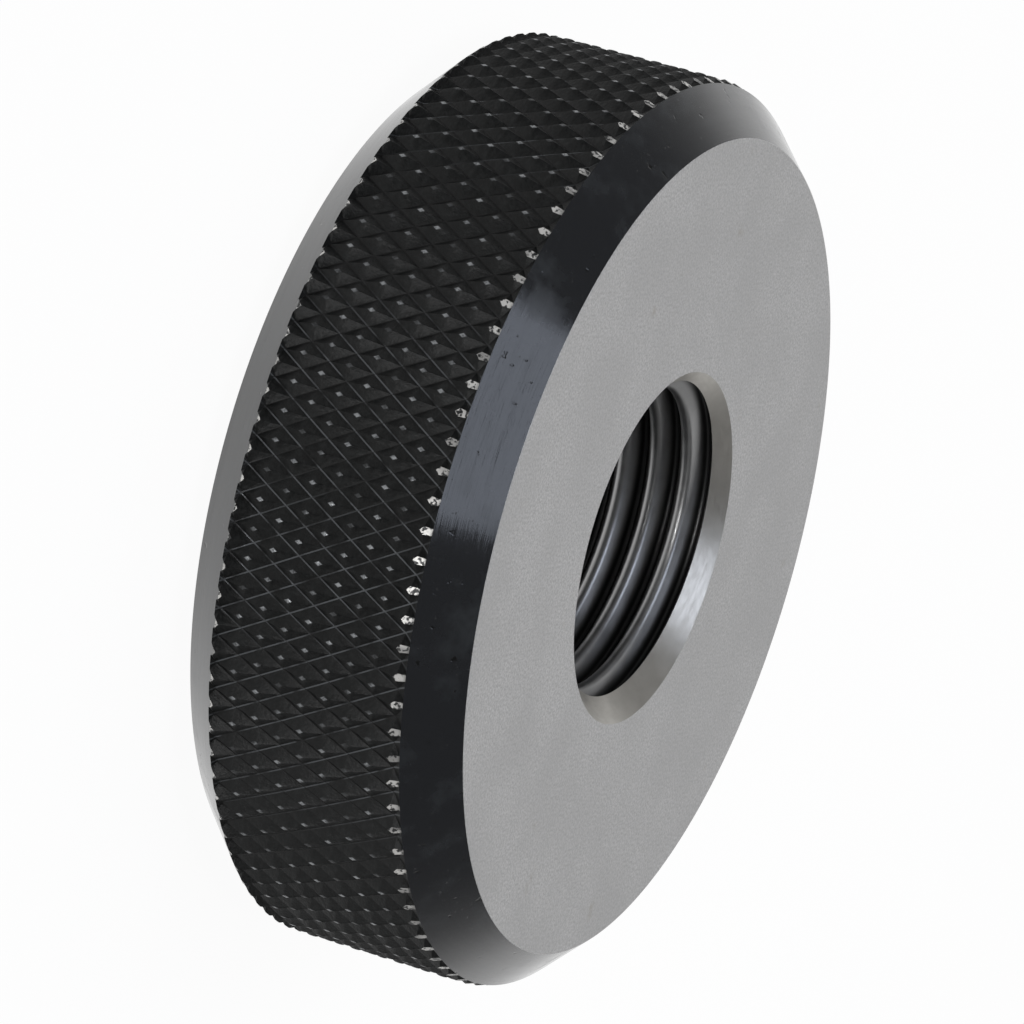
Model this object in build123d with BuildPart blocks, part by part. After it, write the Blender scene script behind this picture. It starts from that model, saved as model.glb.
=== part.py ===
from build123d import *
from math import ceil, cos, pi, radians, sin, tan
import os

# A solid thread ring gauge: one turned steel ring with a diamond-knurled rim, a bevel round each edge
# of the rim and a bore that is countersunk at both ends. The bore is as wide as the crests of its thread,
# whose fine grooves are not cut here. Millimetres. The ring lies flat on its back face: the origin is
# that face's centre, +Z runs along the axis, and the front face is uppermost.

# Driving dimensions of the ring
outer_diameter = 38.0
thickness = 12.0
rim_bevel = 2.0

# Driving dimensions of the knurl: grooves that cross in a diamond pattern and leave pointed pyramids.
# The first row of tips falls just outside the back bevel's edge, so that the bevel blunts it.
knurl_count = 101
knurl_angle = 31.0
knurl_depth = 0.35
first_row_outset = 0.05

# Driving dimensions of the bore, whose thread has the basic sizes of 9/16-18 UNF, right-handed. The
# countersinks open a little wider than the thread's roots, by this margin on the radius.
major_diameter = 14.288
threads_per_inch = 18
thread_angle = 60.0
countersink_margin = 0.206

# Constants of measure, and how far a cutting shape runs past the metal that it cuts
inch = 25.4
overrun = 0.5

# Sizes of the ring and the knurl that follow from the driving dimensions
outer_radius = outer_diameter / 2
pit_radius = outer_radius - knurl_depth
face_radius = outer_radius - rim_bevel
front_edge = thickness - rim_bevel
column_count = 2 * knurl_count
column_width = pi * outer_diameter / column_count
row_spacing = column_width / tan(radians(knurl_angle))
first_row = rim_bevel - first_row_outset
row_count = ceil((front_edge - first_row) / row_spacing)

# Sizes of the bore: the thread's crests are a quarter of the pitch wide, and its roots an eighth
thread_pitch = inch / threads_per_inch
flank_height = 5 / 16 * thread_pitch / tan(radians(thread_angle / 2))
crest_radius = major_diameter / 2 - flank_height
countersink_depth = flank_height + countersink_margin


def ring_of_points(height, even_radius, odd_radius):
    """One point to a column of the knurl, at one height, on the two radii in turn."""
    points = []
    for column in range(column_count):
        radius = odd_radius if column % 2 else even_radius
        turn = 2 * pi * column / column_count
        points.append(Vector(radius * cos(turn), radius * sin(turn), height))
    return points


def flat_face(*points):
    """A flat face with the given corners."""
    return Face(Wire.make_polygon(points))


def flat_sides(low, high):
    """Flat strips between two rings of points, one from each column to the next."""
    return [flat_face(low[i - 1], low[i], high[i], high[i - 1]) for i in range(column_count)]


def knurl_facets(low, high, low_even_is_tip):
    """The knurl between two of its rows: two facets to a cell, which meet along the groove from pit to pit."""
    facets = []
    for i in range(column_count):
        near_low, far_low, far_high, near_high = low[i - 1], low[i], high[i], high[i - 1]
        far_low_is_tip = (i % 2 == 0) == low_even_is_tip
        if far_low_is_tip:
            facets.append(flat_face(near_low, far_low, far_high))
            facets.append(flat_face(near_low, far_high, near_high))
        else:
            facets.append(flat_face(near_low, far_low, near_high))
            facets.append(flat_face(far_low, far_high, near_high))
    return facets


def knurled_drum():
    """The knurl's rows, one row past the rim's band at each end, with plain skirts past the ring's faces."""
    rows = range(-1, row_count + 2)
    rings = []
    for row in rows:
        radii = (outer_radius, pit_radius) if row % 2 == 0 else (pit_radius, outer_radius)
        rings.append((radii, ring_of_points(first_row + row * row_spacing, *radii)))
    back_radii, back_ring = rings[0]
    front_radii, front_ring = rings[-1]
    back_end = ring_of_points(-overrun, *back_radii)
    front_end = ring_of_points(thickness + overrun, *front_radii)
    faces = [flat_face(*back_end), flat_face(*front_end)]
    faces += flat_sides(back_end, back_ring) + flat_sides(front_ring, front_end)
    for (low_radii, low), (_, high) in zip(rings, rings[1:]):
        faces += knurl_facets(low, high, low_radii[0] == outer_radius)
    return Solid(Shell(faces))


def bevelled_blank():
    """The blank's outside, in flats as wide as the knurl's columns, with the bevels run on past the tips."""
    sections = [
        (0, face_radius),
        (rim_bevel + overrun, outer_radius + overrun),
        (front_edge - overrun, outer_radius + overrun),
        (thickness, face_radius),
    ]
    rings = [ring_of_points(height, radius, radius) for height, radius in sections]
    faces = [flat_face(*rings[0]), flat_face(*rings[-1])]
    for low, high in zip(rings, rings[1:]):
        faces += flat_sides(low, high)
    return Solid(Shell(faces))


with BuildPart() as gauge_ring:
    add(bevelled_blank())

    # The bore, with a 45 degree countersink at each end
    Hole(crest_radius)
    chamfer(gauge_ring.edges().filter_by(GeomType.CIRCLE), length=countersink_depth)

    # The knurl, whose ends the bevels cut off in scallops
    add(knurled_drum(), mode=Mode.INTERSECT)
gauge_ring.part.label = "gauge_ring"

os.makedirs("parts", exist_ok=True)
export_step(gauge_ring.part, "parts/gauge_ring.step")
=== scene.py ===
from math import ceil, cos, hypot, pi, radians, sin, tan

import bmesh
import bpy
from mathutils import Matrix, Vector


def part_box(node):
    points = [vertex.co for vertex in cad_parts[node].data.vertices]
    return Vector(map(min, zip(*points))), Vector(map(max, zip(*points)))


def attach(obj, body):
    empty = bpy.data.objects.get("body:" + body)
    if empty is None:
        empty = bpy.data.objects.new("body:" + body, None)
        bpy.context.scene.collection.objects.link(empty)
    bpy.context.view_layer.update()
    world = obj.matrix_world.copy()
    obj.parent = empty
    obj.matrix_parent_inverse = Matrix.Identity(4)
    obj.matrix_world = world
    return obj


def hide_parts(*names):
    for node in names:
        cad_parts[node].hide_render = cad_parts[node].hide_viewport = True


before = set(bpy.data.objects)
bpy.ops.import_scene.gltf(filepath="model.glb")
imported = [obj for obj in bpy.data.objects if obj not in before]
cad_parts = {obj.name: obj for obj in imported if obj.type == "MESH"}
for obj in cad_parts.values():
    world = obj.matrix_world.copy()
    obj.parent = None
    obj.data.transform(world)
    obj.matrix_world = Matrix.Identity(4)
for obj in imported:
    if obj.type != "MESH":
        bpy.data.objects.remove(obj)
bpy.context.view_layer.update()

# A thread ring gauge lying flat on its back face: a steel ring with a ground face, black bevels, a
# diamond-knurled rim and a threaded bore. Metres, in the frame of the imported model.

mm = 0.001
front_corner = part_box("gauge_ring")[1]
outer_radius = front_corner.x
thickness = front_corner.z

# The rim: its bevels, and the knurl's grooves and the pyramids between them. The floors of the grooves and
# the domes on the tips are steps inwards, each with its width and its height.
rim_bevel = 2.0 * mm
knurl_count = 101
knurl_angle = radians(31.0)
knurl_depth = 0.35 * mm
first_row_outset = 0.05 * mm
groove_floor = ((0.016 * mm, 0.003 * mm), (0.014 * mm, 0.0052 * mm))
tip_dome = ((0.028 * mm, 0.012 * mm), (0.025 * mm, 0.006 * mm), (0.022 * mm, 0.002 * mm))
tip_half_width = 0.022 * mm
tip_clearance = 0.002 * mm
edge_break = 0.012 * mm

# The ends of the knurl: a worn flat leans over the last row of tips, and the grooves run out less deep
wear_slope = tan(radians(20))
wear_depth = 0.06 * mm
runout_slope = tan(radians(30))
front_runout = 0.26 * mm
back_runout = 0.32 * mm

column_count = 2 * knurl_count
column_width = 2 * pi * outer_radius / column_count
row_spacing = column_width / tan(knurl_angle)
first_row = rim_bevel - first_row_outset
row_count = ceil((thickness - rim_bevel - first_row) / row_spacing)

# The bore: a right-handed 9/16-18 UNF thread between two 45 degree countersinks, and its steps in one turn
major_radius = 7.144 * mm
thread_pitch = 25.4 / 18 * mm
flank_angle = radians(30)
countersink_radius = 7.35 * mm
crest_round = 0.17 * mm
root_round = 0.08 * mm
crest_radius = major_radius - 5 / 16 * thread_pitch / tan(flank_angle)
turn_steps = 180

# How near two points have to be to become one, and how near a plane to lie on it
weld = 0.002 * mm
closeness = 0.0001 * mm

# Edges that turn by more than this stay sharp
sharp_turn = radians(28)

# Places of the materials on the ring
KNURL, GROOVE, CROSS_GROOVE, WORN, BEVEL, FACE, COUNTERSINK, THREAD = range(8)


def whole(bm):
    """Everything in a mesh, as the operators take it."""
    return bm.verts[:] + bm.edges[:] + bm.faces[:]


def pyramid(bm, column, row):
    """One pyramid of the knurl, laid flat: x runs round the rim, y up the ring's axis and z outwards."""
    place = Matrix.Translation((column * column_width, first_row + row * row_spacing, -knurl_depth))
    spread = Matrix.Diagonal((column_width, row_spacing, 1, 1))
    base = bmesh.ops.create_circle(bm, cap_ends=True, segments=4, radius=1, matrix=place @ spread)
    top = base["verts"][0].link_faces[0]
    if top.normal.z < 0:
        top.normal_flip()
    slope_reach = column_width * row_spacing / hypot(column_width, row_spacing) - tip_half_width
    slope_rise = knurl_depth - tip_clearance
    for width, height in groove_floor + tip_dome:
        slope_reach -= width
        slope_rise -= height
    slope = ((slope_reach, slope_rise),)
    for steps, material in ((groove_floor, GROOVE), (slope, KNURL), (tip_dome, KNURL)):
        for width, height in steps:
            made = bmesh.ops.inset_individual(
                bm, faces=[top], thickness=width, depth=height, use_even_offset=True
            )
            for face in made["faces"]:
                face.normal_update()
                crossing = material == GROOVE and face.normal.x * face.normal.y > 0
                face.material_index = CROSS_GROOVE if crossing else material


def flatten(bm, height, depth, slope, from_above):
    """Brings the knurl to a leaning plane, where it stands above or below it, and gives the faces there."""
    bmesh.ops.bisect_plane(
        bm, geom=whole(bm), dist=closeness, plane_co=(0, height, -depth), plane_no=(0, slope, 1)
    )
    on_plane = set()
    for vert in bm.verts:
        limit = -depth - (vert.co.y - height) * slope
        rise = vert.co.z - limit if from_above else limit - vert.co.z
        if rise > -closeness:
            vert.co.z = limit
            on_plane.add(vert)
    return [face for face in bm.faces if on_plane.issuperset(face.verts)]


def run_to(bm, edges, material, height, depth):
    """Runs a surface on from its edges to a line at a height and a depth, and gives its new edges."""
    made = bmesh.ops.extrude_edge_only(bm, edges=edges)["geom"]
    for item in made:
        if isinstance(item, bmesh.types.BMVert):
            item.co.y = height
            item.co.z = -depth
        elif isinstance(item, bmesh.types.BMFace):
            item.material_index = material
    return [item for item in made if isinstance(item, bmesh.types.BMEdge)]


def finish_edge(bm, end_height, outward, tips, runout_depth):
    """Ends the knurl, still laid flat, in its worn last tips and a bevel that runs to the ring's face."""
    rim_edge = end_height - outward * rim_bevel
    for face in flatten(bm, tips, wear_depth, outward * wear_slope, from_above=True):
        face.material_index = WORN
    flatten(bm, rim_edge, runout_depth, -outward * runout_slope, from_above=False)
    cut = bmesh.ops.bisect_plane(
        bm,
        geom=whole(bm),
        dist=closeness,
        plane_co=(0, rim_edge, 0),
        plane_no=(0, outward, 1),
        clear_outer=True,
    )
    edges = [item for item in cut["geom_cut"] if isinstance(item, bmesh.types.BMEdge)]
    edges = run_to(bm, edges, BEVEL, end_height - outward * edge_break, rim_bevel - edge_break)
    run_to(bm, edges, FACE, end_height, rim_bevel + edge_break / 2)


def ring_blank():
    """The ring before it is bored: the knurled rim, its two bevels and two flat faces."""
    bm = bmesh.new()
    # One column of pyramids, in every other row to the side, with spare rows for the bevels to cut
    for row in range(-1, row_count + 2):
        pyramid(bm, row % 2, row)
    bmesh.ops.remove_doubles(bm, verts=bm.verts, dist=weld)
    last_row = first_row + (row_count - 1) * row_spacing
    finish_edge(bm, 0, -1, first_row, back_runout)
    finish_edge(bm, thickness, 1, last_row, front_runout)
    # The column is bent to the rim's curve and repeated all the way round
    for vert in bm.verts:
        radius = outer_radius + vert.co.z
        turn = vert.co.x / outer_radius
        vert.co = (radius * cos(turn), radius * sin(turn), vert.co.y)
    bmesh.ops.spin(
        bm,
        geom=whole(bm),
        cent=(0, 0, 0),
        axis=(0, 0, 1),
        angle=2 * pi * (knurl_count - 1) / knurl_count,
        steps=knurl_count - 1,
        use_duplicate=True,
    )
    bmesh.ops.remove_doubles(bm, verts=bm.verts, dist=weld)
    ends = bmesh.ops.holes_fill(bm, edges=[edge for edge in bm.edges if edge.is_boundary], sides=0)
    for face in ends["faces"]:
        face.material_index = FACE
    bmesh.ops.recalc_face_normals(bm, faces=bm.faces)
    return bm


def rounded(before, corner, after, size, count):
    """Points round a corner, from the line before it to the line after it."""
    near = corner + (before - corner).normalized() * size
    far = corner + (after - corner).normalized() * size
    points = []
    for i in range(count + 1):
        t = i / count
        points.append(near * (1 - t) ** 2 + corner * 2 * t * (1 - t) + far * t ** 2)
    return points


def thread_tap():
    """The shape that the tap cuts out: a helix of the 60 degree profile, longer than the bore."""
    bm = bmesh.new()
    spare_turns = 2
    crest_points = 6
    root_points = 3
    root_half = thread_pitch / 16
    crest_half = thread_pitch / 8
    half_pitch = thread_pitch / 2
    low_crest = Vector((crest_radius, 0, crest_half - half_pitch))
    low_root = Vector((major_radius, 0, -root_half))
    high_root = Vector((major_radius, 0, root_half))
    high_crest = Vector((crest_radius, 0, half_pitch - crest_half))
    next_turn = Vector((0, 0, thread_pitch))
    profile = rounded(high_crest - next_turn, low_crest, low_root, crest_round, crest_points)
    profile += rounded(low_crest, low_root, high_root, root_round, root_points)
    profile += rounded(low_root, high_root, high_crest, root_round, root_points)
    profile += rounded(high_root, high_crest, low_crest + next_turn, crest_round, crest_points)
    verts = []
    for turn in range(-spare_turns, ceil(thickness / thread_pitch) + spare_turns):
        for point in profile:
            verts.append(bm.verts.new(point + turn * next_turn))
    for low, high in zip(verts, verts[1:]):
        bm.edges.new((low, high))
    bmesh.ops.spin(
        bm,
        geom=whole(bm),
        cent=(0, 0, 0),
        axis=(0, 0, 1),
        dvec=(0, 0, thread_pitch / turn_steps),
        angle=2 * pi,
        steps=turn_steps,
    )
    bmesh.ops.remove_doubles(bm, verts=bm.verts, dist=weld)
    bmesh.ops.holes_fill(bm, edges=[edge for edge in bm.edges if edge.is_boundary], sides=0)
    bmesh.ops.recalc_face_normals(bm, faces=bm.faces)
    for face in bm.faces:
        face.material_index = THREAD
    return bm


def countersink_cutter(edge_height, inward):
    """A 45 degree cone that opens one mouth of the bore. It runs on past both ends of the cut."""
    bm = bmesh.new()
    overrun = 1.0 * mm
    depth = countersink_radius - crest_radius + 2 * overrun
    middle = edge_height + inward * (depth / 2 - overrun)
    wide = countersink_radius + overrun
    narrow = crest_radius - overrun
    low, high = (wide, narrow) if inward > 0 else (narrow, wide)
    bmesh.ops.create_cone(
        bm,
        cap_ends=True,
        segments=turn_steps,
        radius1=low,
        radius2=high,
        depth=depth,
        matrix=Matrix.Translation((0, 0, middle)),
    )
    for face in bm.faces:
        face.material_index = COUNTERSINK
    return bm


def as_object(name, bm, materials):
    """An object that holds the mesh and wears the materials."""
    mesh = bpy.data.meshes.new(name)
    bm.to_mesh(mesh)
    bm.free()
    for material in materials:
        mesh.materials.append(material)
    piece = bpy.data.objects.new(name, mesh)
    bpy.context.scene.collection.objects.link(piece)
    return piece


def carve(piece, cutter):
    """Takes the cutter's shape out of the piece and clears the cutter away."""
    boolean = piece.modifiers.new("carve", "BOOLEAN")
    boolean.operation = "DIFFERENCE"
    boolean.solver = "EXACT"
    boolean.object = cutter
    carved = bpy.data.meshes.new_from_object(piece.evaluated_get(bpy.context.evaluated_depsgraph_get()))
    piece.modifiers.clear()
    piece.data = carved
    bpy.data.objects.remove(cutter)


def soften(piece):
    """Smooths the round surfaces. An edge stays sharp where it turns a lot, or where two finishes meet."""
    bm = bmesh.new()
    bm.from_mesh(piece.data)
    for face in bm.faces:
        face.smooth = True
    for edge in bm.edges:
        finishes = {face.material_index for face in edge.link_faces}
        one_finish = len(finishes) == 1 or finishes <= {KNURL, GROOVE, CROSS_GROOVE}
        edge.smooth = one_finish and edge.calc_face_angle(pi) < sharp_turn
    bm.to_mesh(piece.data)
    bm.free()


def linear(code):
    """An sRGB hex colour as the linear colour that shaders take."""
    channels = [int(code[i:i + 2], 16) / 255 for i in (1, 3, 5)]
    return [c / 12.92 if c <= 0.04045 else ((c + 0.055) / 1.055) ** 2.4 for c in channels] + [1]


def node(tree, kind, inputs=None, **settings):
    """Adds a node with its settings, its values and its links."""
    made = tree.nodes.new(kind)
    for name, value in settings.items():
        setattr(made, name, value)
    for socket, value in (inputs or {}).items():
        if isinstance(value, bpy.types.NodeSocket):
            tree.links.new(value, made.inputs[socket])
        else:
            made.inputs[socket].default_value = value
    return made


# Sockets of a colour mix, whose names repeat
SHARE, FIRST, SECOND, MIXED = 0, 6, 7, 2


def distance_from_axis(tree, place):
    """How far a place is from the ring's axis, and the place moved straight to the floor."""
    flat = node(tree, "ShaderNodeVectorMath", {0: place, 1: (1, 1, 0)}, operation="MULTIPLY").outputs[0]
    return node(tree, "ShaderNodeVectorMath", {0: flat}, operation="LENGTH").outputs["Value"], flat


def lines_round(tree, place):
    """Coordinates that draw a pattern out into lines round the ring, as a turning tool leaves them."""
    # A turn of the ring counts for no more than a turn of this radius
    drawn_out_radius = 0.8 * mm
    # The height takes a small part, so that the two bevels don't show the same lines
    height_part = -0.3
    radius, flat = distance_from_axis(tree, place)
    around = node(tree, "ShaderNodeVectorMath", {0: flat}, operation="NORMALIZE").outputs[0]
    short = node(
        tree,
        "ShaderNodeVectorMath",
        {0: around, 1: (drawn_out_radius, drawn_out_radius, 0)},
        operation="MULTIPLY",
    ).outputs[0]
    height = node(tree, "ShaderNodeSeparateXYZ", {0: place}).outputs["Z"]
    across = node(
        tree, "ShaderNodeMath", {0: height, 1: height_part, 2: radius}, operation="MULTIPLY_ADD"
    ).outputs[0]
    axial = node(tree, "ShaderNodeCombineXYZ", {"Z": across}).outputs[0]
    return node(tree, "ShaderNodeVectorMath", {0: short, 1: axial}, operation="ADD").outputs[0]


def black_oxide_knurl(tree):
    """Tool steel, rolled by a knurling wheel and blackened with oxide. The eye sees near-black, a little
    dusty, with small bare spots of bright metal on the worn tips, larger on some than on others."""
    # Depths below the tips at which the wear begins and at which it is complete
    wear_begins = 0.024 * mm
    fully_bare = 0.006 * mm
    place = node(tree, "ShaderNodeTexCoord").outputs["Object"]
    radius = distance_from_axis(tree, place)[0]
    # Real blotches of dry oxide are about 0.1 mm, and are drawn at 0.3 mm so that they show
    blotches = node(
        tree,
        "ShaderNodeTexNoise",
        {"Vector": place, "Scale": 1 / (0.3 * mm), "Detail": 4, "Roughness": 0.7},
    ).outputs["Fac"]
    # Wear differs from one tip to the next, 1.2 mm away, and rubs each into its own shape
    luck = node(tree, "ShaderNodeTexNoise", {"Vector": place, "Scale": 1 / (0.9 * mm)}).outputs["Fac"]
    shape = node(tree, "ShaderNodeTexNoise", {"Vector": place, "Scale": 1 / (0.1 * mm)}).outputs["Fac"]
    # Pits left by the wheel's tool marks
    pits = node(
        tree,
        "ShaderNodeTexNoise",
        {"Vector": place, "Scale": 1 / (0.16 * mm), "Detail": 3, "Roughness": 0.6},
    ).outputs["Fac"]

    dusty = node(
        tree,
        "ShaderNodeMapRange",
        {"Value": blotches, "From Min": 0.42, "From Max": 0.7},
        interpolation_type="SMOOTHSTEP",
    ).outputs["Result"]
    bare = node(
        tree,
        "ShaderNodeMapRange",
        {"Value": radius, "From Min": outer_radius - wear_begins, "From Max": outer_radius - fully_bare},
        interpolation_type="SMOOTHSTEP",
    ).outputs["Result"]
    for pattern, low, high, least in ((luck, 0.38, 0.62, 0.15), (shape, 0.36, 0.5, 0.5)):
        worn = node(
            tree,
            "ShaderNodeMapRange",
            {"Value": pattern, "From Min": low, "From Max": high, "To Min": least},
            interpolation_type="SMOOTHSTEP",
        ).outputs["Result"]
        bare = node(tree, "ShaderNodeMath", {0: bare, 1: worn}, operation="MULTIPLY").outputs[0]
    black = node(
        tree,
        "ShaderNodeMix",
        {SHARE: dusty, FIRST: linear("#030404"), SECOND: linear("#121313")},
        data_type="RGBA",
    ).outputs[MIXED]
    colour = node(
        tree, "ShaderNodeMix", {SHARE: bare, FIRST: black, SECOND: linear("#808284")}, data_type="RGBA"
    ).outputs[MIXED]
    roughness = node(tree, "ShaderNodeMapRange", {"Value": bare, "To Min": 0.46, "To Max": 0.3})
    relief = node(tree, "ShaderNodeBump", {"Height": pits, "Distance": 0.03 * mm, "Strength": 1.0})
    return node(tree, "ShaderNodeBsdfPrincipled", {
        "Base Color": colour,
        "Metallic": bare,
        "Roughness": roughness.outputs[0],
        "Specular IOR Level": 0.2,
        "Normal": relief.outputs[0],
    })


def groove_floor_painted_highlight(tree, highlight_centre):
    """The floors of one set of the knurl's grooves, blackened too, with a painted highlight: lighter,
    smoother and more metallic in stretches round the ring. The eye sees thin light lines there, and black
    ones elsewhere."""
    # Painted highlight: the grooves are drawn lighter in stretches, four times in a turn of the ring, the
    # first centred at the given angle
    highlight_stretches_round = 4
    place = node(tree, "ShaderNodeTexCoord").outputs["Object"]
    spot = node(tree, "ShaderNodeSeparateXYZ", {0: place}).outputs
    angle = node(tree, "ShaderNodeMath", {0: spot["Y"], 1: spot["X"]}, operation="ARCTAN2").outputs[0]
    phase = node(
        tree,
        "ShaderNodeMath",
        {0: angle, 1: highlight_stretches_round, 2: -highlight_stretches_round * highlight_centre},
        operation="MULTIPLY_ADD",
    ).outputs[0]
    highlight_wave = node(tree, "ShaderNodeMath", {0: phase}, operation="COSINE").outputs[0]
    # The painted highlight breaks off every millimetre or so
    highlight_breaks = node(
        tree, "ShaderNodeTexNoise", {"Vector": place, "Scale": 1 / (0.9 * mm), "Detail": 3}
    ).outputs["Fac"]
    marks = node(tree, "ShaderNodeTexNoise", {"Vector": place, "Scale": 1 / (0.08 * mm)}).outputs["Fac"]

    # smooth carries the painted highlight in the colour, and a smoother, more metallic finish in the same
    # stretches
    smooth = 1.0
    for pattern, low, high in ((highlight_wave, -0.3, 0.7), (highlight_breaks, 0.3, 0.55)):
        pressed = node(
            tree,
            "ShaderNodeMapRange",
            {"Value": pattern, "From Min": low, "From Max": high},
            interpolation_type="SMOOTHSTEP",
        ).outputs["Result"]
        smooth = node(tree, "ShaderNodeMath", {0: pressed, 1: smooth}, operation="MULTIPLY").outputs[0]
    # Painted highlight: the light colour stands in for the front window's reflection in the grooves
    colour = node(
        tree,
        "ShaderNodeMix",
        {SHARE: smooth, FIRST: linear("#060606"), SECOND: linear("#4A4C4E")},
        data_type="RGBA",
    ).outputs[MIXED]
    metallic = node(tree, "ShaderNodeMath", {0: smooth, 1: 0.5}, operation="MULTIPLY")
    roughness = node(tree, "ShaderNodeMapRange", {"Value": smooth, "To Min": 0.5, "To Max": 0.3})
    relief = node(tree, "ShaderNodeBump", {"Height": marks, "Distance": 0.006 * mm, "Strength": 1.0})
    return node(tree, "ShaderNodeBsdfPrincipled", {
        "Base Color": colour,
        "Metallic": metallic.outputs[0],
        "Roughness": roughness.outputs[0],
        "Specular IOR Level": 0.2,
        "Normal": relief.outputs[0],
    })


def groove_painted_highlight(tree):
    """One of the two sets of grooves, with its painted highlight centred on the side that faces the camera.
    """
    return groove_floor_painted_highlight(tree, highlight_centre=radians(82))


def cross_groove_painted_highlight(tree):
    """The set of grooves that crosses the first, with its painted highlight centred a little further round.
    """
    return groove_floor_painted_highlight(tree, highlight_centre=radians(107))


def worn_lip(tree):
    """The last row of tips, where handling has rubbed the oxide off the steel. The eye sees ragged bright
    corners along both ends of the knurl, with black between and below them."""
    # Depths below the tips at which the wear begins and at which it is complete
    wear_begins = 0.23 * mm
    fully_bare = 0.13 * mm
    place = node(tree, "ShaderNodeTexCoord").outputs["Object"]
    radius = distance_from_axis(tree, place)[0]
    # Patches of oxide about 0.15 mm wide are left, and some tips are rubbed less
    ragged = node(tree, "ShaderNodeTexNoise", {"Vector": place, "Scale": 1 / (0.15 * mm)}).outputs["Fac"]
    luck = node(
        tree, "ShaderNodeTexNoise", {"Vector": place, "Scale": 1 / (1.3 * mm), "Detail": 1}
    ).outputs["Fac"]
    grain = node(tree, "ShaderNodeTexNoise", {"Vector": place, "Scale": 1 / (0.07 * mm)}).outputs["Fac"]

    bare = node(
        tree,
        "ShaderNodeMapRange",
        {"Value": radius, "From Min": outer_radius - wear_begins, "From Max": outer_radius - fully_bare},
        interpolation_type="SMOOTHSTEP",
    ).outputs["Result"]
    for pattern, low, high, least in ((ragged, 0.42, 0.52, 0), (luck, 0.36, 0.55, 0.4)):
        rubbed = node(
            tree,
            "ShaderNodeMapRange",
            {"Value": pattern, "From Min": low, "From Max": high, "To Min": least},
            interpolation_type="SMOOTHSTEP",
        ).outputs["Result"]
        bare = node(tree, "ShaderNodeMath", {0: bare, 1: rubbed}, operation="MULTIPLY").outputs[0]
    colour = node(
        tree,
        "ShaderNodeMix",
        {SHARE: bare, FIRST: linear("#0F1011"), SECOND: linear("#C4C2BE")},
        data_type="RGBA",
    ).outputs[MIXED]
    metallic = node(tree, "ShaderNodeMath", {0: bare, 1: 0.4}, operation="MULTIPLY")
    relief = node(tree, "ShaderNodeBump", {"Height": grain, "Distance": 0.01 * mm, "Strength": 1.0})
    return node(tree, "ShaderNodeBsdfPrincipled", {
        "Base Color": colour,
        "Metallic": metallic.outputs[0],
        "Roughness": 0.4,
        "Normal": relief.outputs[0],
    })


def black_oxide_bevel(tree):
    """Tool steel, turned at a fine feed and blackened with oxide. The eye sees a glossy black with fine
    lines round the ring, a slow waviness in its reflections, and a few nicks and scuffs from use."""
    place = node(tree, "ShaderNodeTexCoord").outputs["Object"]
    turned = lines_round(tree, place)
    # A fine feed is about 0.05 mm to a turn
    lines = node(
        tree, "ShaderNodeTexNoise", {"Vector": turned, "Scale": 1 / (0.05 * mm), "Detail": 3}
    ).outputs["Fac"]
    waves = node(
        tree, "ShaderNodeTexNoise", {"Vector": turned, "Scale": 1 / (0.5 * mm), "Detail": 1}
    ).outputs["Fac"]
    # Nicks about 0.15 mm across, and scuffs that are three times as long up the bevel as round it
    nicks = node(
        tree, "ShaderNodeTexNoise", {"Vector": place, "Scale": 1 / (0.16 * mm), "Roughness": 0.6}
    ).outputs["Fac"]
    upright = node(
        tree, "ShaderNodeVectorMath", {0: place, 1: (1, 1, 0.35)}, operation="MULTIPLY"
    ).outputs[0]
    scuffs = node(
        tree, "ShaderNodeTexNoise", {"Vector": upright, "Scale": 1 / (0.5 * mm), "Roughness": 0.6}
    ).outputs["Fac"]
    smudges = node(
        tree,
        "ShaderNodeTexNoise",
        {"Vector": place, "Scale": 1 / (2.2 * mm), "Detail": 4, "Roughness": 0.6},
    ).outputs["Fac"]

    marks = []
    for pattern, low, high in ((nicks, 0.73, 0.77), (scuffs, 0.69, 0.74), (smudges, 0.48, 0.68)):
        mark = node(
            tree,
            "ShaderNodeMapRange",
            {"Value": pattern, "From Min": low, "From Max": high},
            interpolation_type="SMOOTHSTEP",
        )
        marks.append(mark.outputs["Result"])
    nick, scuff, smudge = marks
    relief = node(tree, "ShaderNodeBump", {"Height": nick, "Distance": -0.02 * mm, "Strength": 1.0})
    for pattern, depth in ((scuff, -0.008 * mm), (lines, 0.004 * mm), (waves, 0.01 * mm)):
        relief = node(
            tree,
            "ShaderNodeBump",
            {"Height": pattern, "Distance": depth, "Strength": 1.0, "Normal": relief.outputs[0]},
        )
    black = node(
        tree,
        "ShaderNodeMix",
        {SHARE: smudge, FIRST: linear("#1E1F21"), SECOND: linear("#282A2C")},
        data_type="RGBA",
    ).outputs[MIXED]
    colour = node(
        tree, "ShaderNodeMix", {SHARE: scuff, FIRST: black, SECOND: linear("#101010")}, data_type="RGBA"
    ).outputs[MIXED]
    roughness = node(tree, "ShaderNodeMapRange", {"Value": smudge, "To Min": 0.1, "To Max": 0.2})
    return node(tree, "ShaderNodeBsdfPrincipled", {
        "Base Color": colour,
        "Roughness": roughness.outputs[0],
        "Normal": relief.outputs[0],
    })


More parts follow.
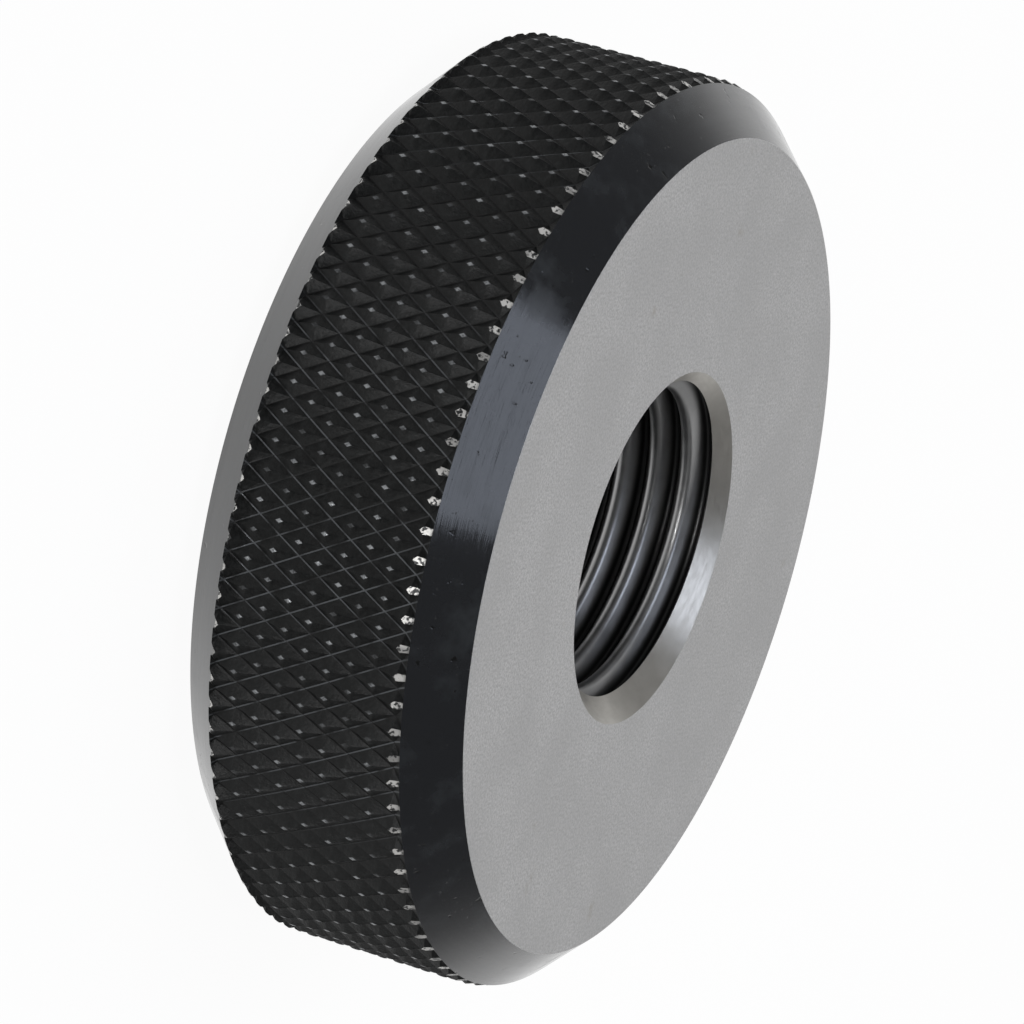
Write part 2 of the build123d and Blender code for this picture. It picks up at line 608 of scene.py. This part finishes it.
def ground_steel(tree):
    """Hardened steel, finely ground. The eye sees an even, matt grey with a fine sparkle, slightly uneven
    over a few millimetres, and a few faint brown stains."""
    place = node(tree, "ShaderNodeTexCoord").outputs["Object"]
    # A grinding grit leaves grains of about 0.02 mm, drawn at 0.11 mm so that they show
    grain = node(
        tree,
        "ShaderNodeTexNoise",
        {"Vector": place, "Scale": 1 / (0.11 * mm), "Detail": 3, "Roughness": 0.7},
    ).outputs["Fac"]
    mottle = node(
        tree, "ShaderNodeTexNoise", {"Vector": place, "Scale": 1 / (3.5 * mm), "Detail": 4}
    ).outputs["Fac"]
    stains = node(
        tree,
        "ShaderNodeTexNoise",
        {"Vector": place, "Scale": 1 / (2.4 * mm), "Detail": 3, "Roughness": 0.65},
    ).outputs["Fac"]

    colour = linear("#939291")
    for pattern, low, high, most, tint in (
        (grain, 0.3, 0.7, 1.0, "#BFBEBD"),
        (mottle, 0.3, 0.7, 0.4, "#9B9A99"),
        (stains, 0.66, 0.76, 0.5, "#8F887C"),
    ):
        share = node(
            tree,
            "ShaderNodeMapRange",
            {"Value": pattern, "From Min": low, "From Max": high, "To Max": most},
            interpolation_type="SMOOTHSTEP",
        ).outputs["Result"]
        colour = node(
            tree, "ShaderNodeMix", {SHARE: share, FIRST: colour, SECOND: linear(tint)}, data_type="RGBA"
        ).outputs[MIXED]
    roughness = node(
        tree,
        "ShaderNodeMapRange",
        {"Value": grain, "From Min": 0.3, "From Max": 0.7, "To Min": 0.34, "To Max": 0.44},
        interpolation_type="SMOOTHSTEP",
    )
    relief = node(tree, "ShaderNodeBump", {"Height": grain, "Distance": 0.004 * mm, "Strength": 1.0})
    return node(tree, "ShaderNodeBsdfPrincipled", {
        "Base Color": colour,
        "Metallic": 0.4,
        "Roughness": roughness.outputs["Result"],
        "Normal": relief.outputs[0],
    })


def turned_steel(tree):
    """Steel, turned and left bright. The eye sees pale, soft bands of light with fine lines round the
    bore."""
    place = node(tree, "ShaderNodeTexCoord").outputs["Object"]
    turned = lines_round(tree, place)
    # A fine feed is about 0.06 mm to a turn
    lines = node(
        tree, "ShaderNodeTexNoise", {"Vector": turned, "Scale": 1 / (0.06 * mm), "Detail": 3}
    ).outputs["Fac"]
    tarnish = node(
        tree, "ShaderNodeTexNoise", {"Vector": place, "Scale": 1 / (0.8 * mm), "Detail": 3}
    ).outputs["Fac"]

    colour = node(
        tree,
        "ShaderNodeMix",
        {SHARE: tarnish, FIRST: linear("#A29F99"), SECOND: linear("#B8B5AF")},
        data_type="RGBA",
    ).outputs[MIXED]
    roughness = node(
        tree,
        "ShaderNodeMapRange",
        {"Value": lines, "From Min": 0.3, "From Max": 0.7, "To Min": 0.32, "To Max": 0.4},
        interpolation_type="SMOOTHSTEP",
    )
    relief = node(tree, "ShaderNodeBump", {"Height": lines, "Distance": 0.003 * mm, "Strength": 1.0})
    return node(tree, "ShaderNodeBsdfPrincipled", {
        "Base Color": colour,
        "Metallic": 0.85,
        "Roughness": roughness.outputs["Result"],
        "Normal": relief.outputs[0],
    })


def lapped_steel_painted_root_shade(tree):
    """Steel thread, lapped to size, with painted shade that darkens it towards the roots between its turns.
    The eye sees satin light bands along the crests and dark roots."""
    # How far from the crests the thread keeps its light colour, and how far from the roots its painted
    # shade is at its darkest
    unshaded_depth = 0.35 * mm
    full_shade_reach = 0.08 * mm
    place = node(tree, "ShaderNodeTexCoord").outputs["Object"]
    radius = distance_from_axis(tree, place)[0]
    # Oil lies in patches a little narrower than the thread's pitch of 1.4 mm
    oil = node(
        tree, "ShaderNodeTexNoise", {"Vector": place, "Scale": 1 / (0.7 * mm), "Detail": 3}
    ).outputs["Fac"]

    # Painted shade: the colour darkens from the crests towards the roots of the thread, where the bore
    # shades itself
    root = node(
        tree,
        "ShaderNodeMapRange",
        {"Value": radius, "From Min": crest_radius + unshaded_depth, "From Max": major_radius - full_shade_reach},
        interpolation_type="SMOOTHSTEP",
    ).outputs["Result"]
    crest = node(
        tree,
        "ShaderNodeMix",
        {SHARE: oil, FIRST: linear("#949494"), SECOND: linear("#AEAEAE")},
        data_type="RGBA",
    ).outputs[MIXED]
    colour = node(
        tree, "ShaderNodeMix", {SHARE: root, FIRST: crest, SECOND: linear("#424242")}, data_type="RGBA"
    ).outputs[MIXED]
    roughness = node(
        tree,
        "ShaderNodeMapRange",
        {"Value": oil, "From Min": 0.3, "From Max": 0.7, "To Min": 0.35, "To Max": 0.41},
        interpolation_type="SMOOTHSTEP",
    )
    return node(tree, "ShaderNodeBsdfPrincipled", {
        "Base Color": colour,
        "Metallic": 0.96,
        "Roughness": roughness.outputs["Result"],
    })


def white_card(tree):
    """Matt white card for the floor. The eye sees plain white with the ring's soft shadow on it."""
    glow_share = 0.95
    card = node(tree, "ShaderNodeBsdfDiffuse", {"Color": linear("#EDEDED")})
    glow = node(tree, "ShaderNodeEmission", {"Color": (1, 1, 1, 1), "Strength": 1.0})
    rays = node(tree, "ShaderNodeLightPath").outputs
    shown = rays["Is Camera Ray"]
    for kind in ("Is Glossy Ray", "Is Transmission Ray"):
        shown = node(tree, "ShaderNodeMath", {0: shown, 1: rays[kind]}, operation="ADD").outputs[0]
    share = node(tree, "ShaderNodeMath", {0: shown, 1: glow_share}, operation="MULTIPLY").outputs[0]
    return node(tree, "ShaderNodeMixShader", {0: share, 1: card.outputs[0], 2: glow.outputs[0]})


def made_material(finish):
    """A material with the name of its finish and the surface that it builds."""
    material = bpy.data.materials.new(finish.__name__)
    material.use_nodes = True
    tree = material.node_tree
    tree.nodes.clear()
    node(tree, "ShaderNodeOutputMaterial", {"Surface": finish(tree).outputs[0]})
    return material


# The ring, with its materials in the order of their places
finishes = (
    black_oxide_knurl,
    groove_painted_highlight,
    cross_groove_painted_highlight,
    worn_lip,
    black_oxide_bevel,
    ground_steel,
    turned_steel,
    lapped_steel_painted_root_shade,
)
materials = [made_material(finish) for finish in finishes]
ring = as_object("knurled_thread_ring", ring_blank(), materials)
carve(ring, as_object("thread_tap", thread_tap(), materials))
for end_height, inward in ((0, 1), (thickness, -1)):
    carve(ring, as_object("countersink_cutter", countersink_cutter(end_height, inward), materials))
soften(ring)
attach(ring, "root")
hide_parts("gauge_ring")

# The camera, at the photograph's angle: rolled, so that the ring's axis points to the right
camera_azimuth = radians(80.175)
camera_elevation = radians(21.598)
camera_roll = radians(106.017)
camera_distance = 293.75 * mm
face_right = 5.745 * mm
face_down = 1.474 * mm

camera = bpy.data.objects.new("camera", bpy.data.cameras.new("camera"))
camera.data.sensor_width = 36
camera.data.lens = 256.15
camera.data.clip_start = 1 * mm
turn = (
    Matrix.Rotation(camera_azimuth + pi / 2, 4, "Z")
    @ Matrix.Rotation(pi / 2 - camera_elevation, 4, "X")
    @ Matrix.Rotation(camera_roll, 4, "Z")
)
face_centre = Vector((0, 0, thickness))
place = face_centre - turn @ Vector((face_right, -face_down, -camera_distance))
camera.matrix_world = Matrix.Translation(place) @ turn
bpy.context.scene.collection.objects.link(camera)
bpy.context.scene.camera = camera

to_camera = Vector((cos(camera_azimuth), sin(camera_azimuth), 0))
beside_camera = Vector((-sin(camera_azimuth), cos(camera_azimuth), 0))
upward = Vector((0, 0, 1))

# The light: a white sweep behind the ring, which falls off towards the room on the camera's side
world = bpy.data.worlds.new("sweep_and_room")
world.use_nodes = True
world.node_tree.nodes.clear()
bpy.context.scene.world = world
tree = world.node_tree
direction = node(tree, "ShaderNodeTexCoord").outputs["Generated"]
height = node(tree, "ShaderNodeSeparateXYZ", {0: direction}).outputs["Z"]
facing = node(tree, "ShaderNodeVectorMath", {0: direction, 1: to_camera}, operation="DOT_PRODUCT")
nearness = node(tree, "ShaderNodeMapRange", {"Value": facing.outputs["Value"], "From Min": -1}).outputs[0]

# Levels of white, each at its place: the sweep from far behind the ring to near the camera, its fall with
# height, and the room from the floor up
sweep_stops = (
    (0.075, 1.0), (0.16, 0.74), (0.245, 0.48), (0.325, 0.33), (0.45, 0.2), (0.55, 0.09), (0.625, 0.05),
)
fall_stops = ((0.1, 1.0), (0.22, 0.82), (0.32, 0.56), (0.5, 0.34))
room_stops = ((0.0, 0.4), (0.15, 0.3), (0.45, 0.15), (0.7, 0.09))
levels = []
for value, stops in ((nearness, sweep_stops), (height, fall_stops), (height, room_stops)):
    steps = node(tree, "ShaderNodeValToRGB", {"Fac": value})
    while len(steps.color_ramp.elements) < len(stops):
        steps.color_ramp.elements.new(1.0)
    for element, (position, level) in zip(steps.color_ramp.elements, stops):
        element.position = position
        element.color = (level, level, level, 1)
    levels.append(steps.outputs[0])
sweep, fall, room = levels
sweep = node(
    tree, "ShaderNodeMix", {SHARE: 1.0, FIRST: sweep, SECOND: fall}, data_type="RGBA", blend_type="MULTIPLY"
).outputs[MIXED]
level = node(
    tree, "ShaderNodeMix", {SHARE: 1.0, FIRST: sweep, SECOND: room}, data_type="RGBA", blend_type="LIGHTEN"
).outputs[MIXED]
seen = node(tree, "ShaderNodeLightPath").outputs["Is Camera Ray"]
shade = node(tree, "ShaderNodeMix", {SHARE: seen, FIRST: level, SECOND: (1, 1, 1, 1)}, data_type="RGBA")
background = node(tree, "ShaderNodeBackground", {"Color": shade.outputs[MIXED]})
node(tree, "ShaderNodeOutputWorld", {"Surface": background.outputs[0]})


def soft_lamp(name, direction, along, distance, length, width, radiance, colour, in_metal):
    """A rectangular lamp with its long side along a direction, and as bright as the radiance says."""
    lamp = bpy.data.objects.new(name, bpy.data.lights.new(name, "AREA"))
    lamp.data.shape = "RECTANGLE"
    lamp.data.size = length
    lamp.data.size_y = width
    lamp.data.energy = radiance * pi * length * width
    lamp.data.color = colour
    outward = direction.normalized()
    side = (along - along.dot(outward) * outward).normalized()
    across = outward.cross(side)
    facing = Matrix((side, across, outward)).transposed().to_4x4()
    lamp.matrix_world = Matrix.Translation(outward * distance) @ facing
    lamp.visible_camera = False
    lamp.visible_glossy = in_metal
    bpy.context.scene.collection.objects.link(lamp)


# A cool window overhead, whose long side lies between two directions as seen from the ring
window_start = 0.361 * to_camera + 0.101 * beside_camera + 0.927 * upward
window_end = 0.167 * to_camera - 0.512 * beside_camera + 0.842 * upward
soft_lamp(
    "window",
    direction=window_start + window_end,
    along=window_end - window_start,
    distance=0.5,
    length=0.343,
    width=0.17,
    radiance=2.7,
    colour=(0.87, 0.95, 1.12),
    in_metal=True,
)

# A small bright window on the camera's side, low down
front_turn = radians(20)
soft_lamp(
    "front_window",
    direction=cos(front_turn) * to_camera + sin(front_turn) * beside_camera + 0.14 * upward,
    along=upward,
    distance=0.6,
    length=0.14,
    width=0.15,
    radiance=22.0,
    colour=(1, 1, 1),
    in_metal=True,
)

# A dim panel above and behind the ring
soft_lamp(
    "back_panel",
    direction=0.866 * upward - 0.5 * to_camera,
    along=beside_camera,
    distance=0.12,
    length=0.16,
    width=0.08,
    radiance=0.8,
    colour=(1, 1, 1),
    in_metal=True,
)

# A wide fill, which lights the matt surfaces and isn't seen in the metal
soft_lamp(
    "overhead_fill",
    direction=upward - 0.6 * beside_camera,
    along=to_camera,
    distance=0.8,
    length=1.2,
    width=1.2,
    radiance=1.0,
    colour=(1, 1, 1),
    in_metal=False,
)

# The floor, which reaches this far each way
floor_reach = 3
floor_bm = bmesh.new()
bmesh.ops.create_grid(floor_bm, x_segments=1, y_segments=1, size=floor_reach)
floor = as_object("floor", floor_bm, [made_material(white_card)])

bpy.context.scene.view_settings.view_transform = "Standard"
